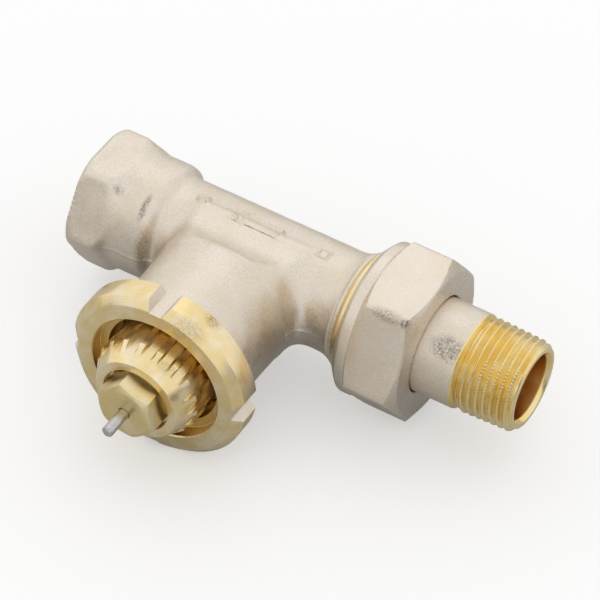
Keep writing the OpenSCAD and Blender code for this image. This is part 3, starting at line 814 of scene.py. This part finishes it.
class VALVE_OT_bonnet(bpy.types.Operator):
    """Brass bonnet with the toothed head that its key turns"""
    bl_idname = "valve.bonnet"
    bl_label = "Bonnet"

    def execute(self, context):
        edge = context.scene.valve_threads.edge / MM
        bonnet = spun("bonnet", [(11.2, 5.5), (11.2, 6.95, edge), (14.4, 6.95), (14.4, 8.95),
                                 (23.8, 8.95), (23.8, 10.4), (HEAD_H, 10.4, edge),
                                 (HEAD_H, TOOTH_R), (TOOTH_H, TOOTH_R, edge),
                                 (BONNET_H, 7.8, edge), (BONNET_H, 6.2, edge), (36.0, 6.2),
                                 (36.0, 5.2), (34.5, 5.2), (34.5, 4.0), (28.0, 4.0),
                                 (28.0, 5.5)], on_stem=True, steps=216)
        gaps = []
        for k in range(TEETH):
            angle = (k + 0.28) * math.tau / TEETH
            gap = slot_block("gap", angle, 8.7, 1.12, 0.03, 0.45, HEAD_H + 0.3, BONNET_H + 1)
            gaps.append(gap)
        combined(bonnet, joined(gaps), "DIFFERENCE")
        tidied(bonnet, gap=0.001)
        applied(bonnet, "BEVEL", width=0.09 * MM, segments=2, limit_method="ANGLE",
                angle_limit=math.radians(38), use_clamp_overlap=True)
        smooth(bonnet, 30)
        look = context.scene.valve_finish
        finished(bonnet, "bonnet", "body", "brass", turned_brass("bonnet_brass", look, True, spots=[
            ((35.4, -35.1, 7.6), 2.2, (1.2, 0.8, 1.0), 0.35)]))
        return {"FINISHED"}


class VALVE_OT_gland(bpy.types.Operator):
    """Small hex gland in front of the bonnet"""
    bl_idname = "valve.gland"
    bl_label = "Gland"

    def execute(self, context):
        gland = hex_block("gland", 36.0, 41.4, 10.0, math.radians(43), on_stem=True, edge=0.12)
        lead = spun("lead", [(35, 0), (35, 7), (41.4 - 0.76, 5.82), (41.4, 4.5, 0.06), (41.4, 0)],
                    on_stem=True, closed=False)
        combined(gland, lead, "INTERSECT")
        shank = spun("shank", [(29.6, 0), (29.6, 3.95), (36.3, 3.95), (36.3, 0)],
                     on_stem=True, closed=False)
        combined(gland, shank, "UNION")
        bore = spun("bore", [(29, 0), (29, 2.5), (36.6, 2.5), (36.6, 1.04), (41.3, 1.04),
                             (42, 1.74), (42, 0)], on_stem=True, closed=False, steps=48)
        combined(gland, bore, "DIFFERENCE")
        tidied(gland, gap=0.001)
        applied(gland, "BEVEL", width=0.07 * MM, segments=2, limit_method="ANGLE",
                angle_limit=math.radians(25), use_clamp_overlap=True)
        smooth(gland, 30)
        look = context.scene.valve_finish
        finished(gland, "gland_nut", "body", "brass",
                 turned_brass("gland_brass", look, True, tint=(0.92, 0.92, 0.86), rough=0.3))
        return {"FINISHED"}


class VALVE_OT_pin(bpy.types.Operator):
    """Steel pin that the sensor presses"""
    bl_idname = "valve.pin"
    bl_label = "Pressure pin"

    def execute(self, context):
        low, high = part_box("pressure_pin")
        end = -low.y / MM
        foot = -high.y / MM
        pin = spun("pin", [(foot, 0), (foot, 1.0), (end - 0.3, 1.0, 0.12), (end, 0.62, 0.2),
                           (end, 0)], on_stem=True, closed=False, steps=48)
        smooth(pin, 35)
        look = context.scene.valve_finish
        finished(pin, "pressure_pin", "stem", "steel", polished_steel("pin_steel", look))
        return {"FINISHED"}


class VALVE_OT_union_nut(bpy.types.Operator):
    """Plated union nut with its round rear collar"""
    bl_idname = "valve.union_nut"
    bl_label = "Union nut"

    def execute(self, context):
        collar_end = NUT_START + 2.9
        nut = hex_block("nut", collar_end - 0.3, NUT_END, 27.0,
                        math.radians(90 + NUT_TURN), edge=0.45)
        lead = spun("lead", [(collar_end - 1, 0), (collar_end - 1, 13.3), (collar_end, 13.5),
                             (collar_end + 1.3, 15.8), (NUT_END - 1.5, 15.8),
                             (NUT_END, 13.1, 0.15), (NUT_END, 0)], closed=False)
        combined(nut, lead, "INTERSECT")
        ring = spun("ring", [(NUT_START, 0), (NUT_START, 12.5, 0.4), (NUT_START + 1.0, 13.7, 0.5),
                             (collar_end - 0.25, 13.7, 0.3), (collar_end + 0.25, 13.2),
                             (collar_end + 0.6, 13.2), (collar_end + 0.6, 0)], closed=False)
        combined(nut, ring, "UNION")
        bore = spun("bore", [(NUT_START - 1, 0), (NUT_START - 1, 12.2), (NUT_START, 11.8),
                             (NUT_START + 0.3, UNION_R + 0.05), (NUT_END - 3, UNION_R + 0.05),
                             (NUT_END - 3, 8.8), (NUT_END - 0.3, 8.8), (NUT_END + 0.4, 9.4),
                             (NUT_END + 0.4, 0)], closed=False)
        combined(nut, bore, "DIFFERENCE")
        tidied(nut, gap=0.001)
        applied(nut, "BEVEL", width=0.16 * MM, segments=3, limit_method="ANGLE",
                angle_limit=math.radians(24), use_clamp_overlap=True)
        smooth(nut, 30)
        look = context.scene.valve_finish
        finished(nut, "union_nut", "nut", "nickel", plated("nickel_nut", look, 0.22, spots=[
            ((61.9, -9.3, 12.3), 3.4, (1.2, 0.5, 0.5), 0.6),
            ((64.9, -9.3, 12.3), 1.2, (1.0, 1.0, 1.0), 0.95),
            ((66.0, 4.5, 14.5), 1.0, (0.8, 1.2, 1.0), 0.9)], rough=0.33, bead=0.3))
        return {"FINISHED"}


class VALVE_OT_tailpiece(bpy.types.Operator):
    """Plated tailpiece with its bare male taper thread"""
    bl_idname = "valve.tailpiece"
    bl_label = "Tailpiece"

    def execute(self, context):
        threads = context.scene.valve_threads
        low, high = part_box("tailpiece")
        nose = low.x / MM
        before = [(nose, 5.9), (nose, 7.15), (nose + 0.15, 7.3), (nose + 0.6, 7.3),
                  (nose + 0.6, 6.3), (nose + 2.2, 6.3), (nose + 2.2, 7.3), (nose + 3.5, 7.3),
                  (nose + 3.5, 10.65), (nose + 3.65, 10.8), (nose + 6.35, 10.8),
                  (nose + 6.5, 10.65), (nose + 6.5, 8.7), (nose + 6.65, 8.55),
                  (THREAD_START - 0.25, 8.55), (THREAD_START - 0.12, 8.5),
                  (THREAD_START + 0.02, 8.3), (THREAD_START + 0.5, 7.72)]
        after = [(TAIL_END, 7.3), (TAIL_END, 6.55), (TAIL_END - 0.15, 6.4),
                 (TAIL_END - 0.7, 5.95), (TAIL_END - 0.9, 5.9)]
        tail = threaded("tail", before, after, THREAD_START + 0.55, TAIL_END - 0.12,
                        lambda a: 8.33 + (TAIL_END - 6.4 - a) / 32, threads.depth / MM,
                        threads.pitch / MM, columns=336, nicks=threads.nicks)
        smooth(tail, 38)
        look = context.scene.valve_finish
        plate = plated("nickel_tail", look, 0.3, spots=[
            ((71.3, -5.5, 6.5), 3.9, (1.1, 0.75, 0.75), 0.85),
            ((75.2, 1.4, 8.4), 1.0, (0.7, 1.2, 1.0), 0.8)], rough=0.38, bead=0.45)
        brass = turned_brass("thread_brass", look, False, tint=(1, 0.97, 0.8), rough=0.2)
        # The bore's brass is tinted much darker and more orange: painted shade inside the bore.
        bore = turned_brass("tail_bore_shade_brass", look, False, tint=(0.66, 0.42, 0.2), rough=0.32)
        piece = finished(tail, "tailpiece", "tail", "nickel", plate, brass, bore)
        mesh = piece.data
        centre = np.empty(len(mesh.polygons) * 3)
        mesh.polygons.foreach_get("center", centre)
        x, y, z = (centre.reshape(-1, 3) / MM).T
        across = np.hypot(y, z)
        index = np.zeros(len(mesh.polygons), dtype=np.int32)
        index[x > THREAD_START - 0.2] = 1
        # Faces in the bore take material 2, the brass with painted shade.
        index[(across < 6.0)] = 2
        mesh.polygons.foreach_set("material_index", index)
        return {"FINISHED"}


class VALVE_OT_inner(bpy.types.Operator):
    """Finishes of the pieces inside the body"""
    bl_idname = "valve.inner"
    bl_label = "Inner pieces"

    def execute(self, context):
        look = context.scene.valve_finish
        brass = turned_brass("inner_brass", look, True, rough=0.3)
        steel = polished_steel("inner_steel", look)
        rubber = moulded("seal_rubber", (0.02, 0.02, 0.021), 0.6)
        plastic = moulded("bush_plastic", (0.78, 0.75, 0.68), 0.45)
        finishes = {
            "guide_bush": brass, "spindle": brass, "valve_cone": brass, "disc_washer": brass,
            "disc_nut": brass, "spring_plate": steel, "retaining_ring": steel,
            "head_seal": rubber, "gland_o_ring": rubber,
            "pin_o_ring": rubber, "seat_disc": rubber, "union_o_ring": rubber,
            "back_up_ring": plastic, "gland_bush": plastic}
        for name, material in finishes.items():
            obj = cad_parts[name]
            if not obj.material_slots:
                obj.data.materials.append(material)
            for material_slot in obj.material_slots:
                material_slot.material = material
        self.spring(steel)
        return {"FINISHED"}

    @staticmethod
    def spring(steel):
        """The return spring, shaped as the frame has it."""
        coil = bpy.data.objects.new("coil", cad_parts["return_spring"].data.copy())
        bpy.context.scene.collection.objects.link(coil)
        finished(coil, "return_spring", "body", "steel", steel)
        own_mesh(coil)


class VALVE_OT_stage(bpy.types.Operator):
    """Pale floor, soft lamps and the camera"""
    bl_idname = "valve.stage"
    bl_label = "Studio"

    def execute(self, context):
        scene = context.scene
        stage = scene.valve_stage
        ground = CAD_BOX[0][2]
        bpy.ops.object.select_all(action="DESELECT")
        bpy.ops.mesh.primitive_plane_add(size=6, location=(0.04, 0, ground))
        floor = bpy.context.object
        floor.name = "floor"
        material = bpy.data.materials.new("studio_floor")
        material.use_nodes = True
        nodes, links = material.node_tree.nodes, material.node_tree.links
        nodes.clear()
        seen = self.seen(nodes, links)
        glow = nodes.new("ShaderNodeEmission")
        strength = nodes.new("ShaderNodeMath")
        strength.operation = "MULTIPLY"
        strength.inputs[1].default_value = 0.36
        links.new(seen, strength.inputs[0])
        links.new(strength.outputs[0], glow.inputs["Strength"])
        matte = nodes.new("ShaderNodeBsdfDiffuse")
        matte.inputs["Color"].default_value = (0.8, 0.8, 0.8, 1)
        both = nodes.new("ShaderNodeAddShader")
        links.new(glow.outputs[0], both.inputs[0])
        links.new(matte.outputs[0], both.inputs[1])
        out = nodes.new("ShaderNodeOutputMaterial")
        links.new(both.outputs[0], out.inputs[0])
        floor.data.materials.append(material)
        world = bpy.data.worlds.new("studio")
        scene.world = world
        world.use_nodes = True
        nodes, links = world.node_tree.nodes, world.node_tree.links
        seen = self.seen(nodes, links)
        level = nodes.new("ShaderNodeMapRange")
        level.inputs[3].default_value = 0.76
        level.inputs[4].default_value = 1.0
        links.new(seen, level.inputs[0])
        links.new(level.outputs[0], nodes["Background"].inputs["Strength"])
        nodes["Background"].inputs["Color"].default_value = (1, 1, 1, 1)
        self.lamp("key", (-0.12, 0.30, 0.46), (0.04, -0.01, 0), 0.35, stage.key_power)
        self.lamp("fill", (-0.45, -0.10, 0.30), (0.03, -0.02, 0), 0.30, stage.fill_power)
        self.card("front_card", (-0.10, -0.50, 0.10), (0.03, -0.02, 0), 0.50, 0.22, 0.62)
        self.card("right_card", (0.42, -0.12, 0.03), (0.04, -0.02, 0), 0.40, 0.10, 0.15)
        self.card("left_card", (-0.34, -0.30, 0.02), (0.03, -0.02, 0), 0.20, 0.10, 0.25)
        # Grey card on the floor that reflections see; ambient occlusion dims its glow near the object,
        # a painted shadow in reflections.
        tree, shader = self.card("floor_shadow_card", (0.04, 0, ground + 0.0001), (0.04, 0, 1), 0.7, 0.7, 0.5)
        near = tree.nodes.new("ShaderNodeAmbientOcclusion")
        near.inputs["Distance"].default_value = 0.03
        level = tree.nodes.new("ShaderNodeMapRange")
        level.inputs[3].default_value = 0.06
        level.inputs[4].default_value = 0.56
        tree.links.new(near.outputs["AO"], level.inputs[0])
        tree.links.new(level.outputs[0], shader.inputs["Emission Strength"])
        camera = bpy.data.cameras.new("camera")
        camera.lens = stage.lens
        camera.sensor_width = 36
        camera.clip_start = 0.01
        camera.clip_end = 20
        eye = bpy.data.objects.new("camera", camera)
        scene.collection.objects.link(eye)
        eye.location = stage.place
        eye.rotation_euler = stage.turn
        scene.camera = eye
        scene.view_settings.view_transform = "Standard"
        return {"FINISHED"}

    @staticmethod
    def seen(nodes, links):
        """1 for rays that show the background: camera, glossy and transmission."""
        path = nodes.new("ShaderNodeLightPath")
        total = path.outputs["Is Camera Ray"]
        for name in ("Is Glossy Ray", "Is Transmission Ray"):
            node = nodes.new("ShaderNodeMath")
            node.operation = "MAXIMUM"
            links.new(total, node.inputs[0])
            links.new(path.outputs[name], node.inputs[1])
            total = node.outputs[0]
        return total

    @staticmethod
    def lamp(name, place, aim, size, power):
        """A square soft lamp."""
        light = bpy.data.lights.new(name, "AREA")
        light.size = size
        light.energy = power
        obj = bpy.data.objects.new(name, light)
        bpy.context.scene.collection.objects.link(obj)
        obj.location = place
        obj.rotation_euler = (Vector(aim) - Vector(place)).to_track_quat("-Z", "Y").to_euler()

    @staticmethod
    def card(name, place, aim, width, height, level):
        """A grey card that only reflections see."""
        turn = (Vector(aim) - Vector(place)).to_track_quat("-Z", "Y").to_euler()
        bpy.ops.object.select_all(action="DESELECT")
        bpy.ops.mesh.primitive_plane_add(size=1, location=place, rotation=turn)
        card = bpy.context.object
        card.name = name
        card.scale = (width, height, 1)
        material = bpy.data.materials.new(name)
        material.use_nodes = True
        shader = material.node_tree.nodes["Principled BSDF"]
        shader.inputs["Base Color"].default_value = (0, 0, 0, 1)
        shader.inputs["Specular IOR Level"].default_value = 0
        shader.inputs["Emission Color"].default_value = (1, 0.98, 0.95, 1)
        shader.inputs["Emission Strength"].default_value = level
        card.data.materials.append(material)
        card.visible_camera = False
        card.visible_diffuse = False
        card.visible_shadow = False
        return material.node_tree, shader


class VALVE_PT_pieces(bpy.types.Panel):
    """Lists the valve's pieces and their settings"""
    bl_idname = "VALVE_PT_pieces"
    bl_label = "Radiator valve"
    bl_space_type = "VIEW_3D"
    bl_region_type = "UI"
    bl_category = "Valve"

    def draw(self, context):
        for name in STEPS:
            self.layout.operator(f"valve.{name}")
        for group in GROUPS:
            box = self.layout.box()
            for prop in GROUPS[group].__annotations__:
                box.prop(getattr(context.scene, group), prop)


STEPS = ("stage", "body", "bonnet", "gland", "pin", "union_nut", "tailpiece", "inner")
GROUPS = {"valve_forging": ForgingSettings, "valve_threads": ThreadSettings,
          "valve_finish": FinishSettings, "valve_stage": StageSettings}
CLASSES = (*GROUPS.values(), VALVE_OT_body, VALVE_OT_bonnet, VALVE_OT_gland, VALVE_OT_pin,
           VALVE_OT_union_nut, VALVE_OT_tailpiece, VALVE_OT_inner, VALVE_OT_stage,
           VALVE_PT_pieces)


def register():
    for cls in CLASSES:
        bpy.utils.register_class(cls)
    for name, group in GROUPS.items():
        setattr(bpy.types.Scene, name, PointerProperty(type=group))


def unregister():
    for name in GROUPS:
        delattr(bpy.types.Scene, name)
    for cls in reversed(CLASSES):
        bpy.utils.unregister_class(cls)


def main():
    """Makes every piece in order."""
    register()
    for step in STEPS:
        getattr(bpy.ops.valve, step)()


if __name__ == "__main__":
    main()
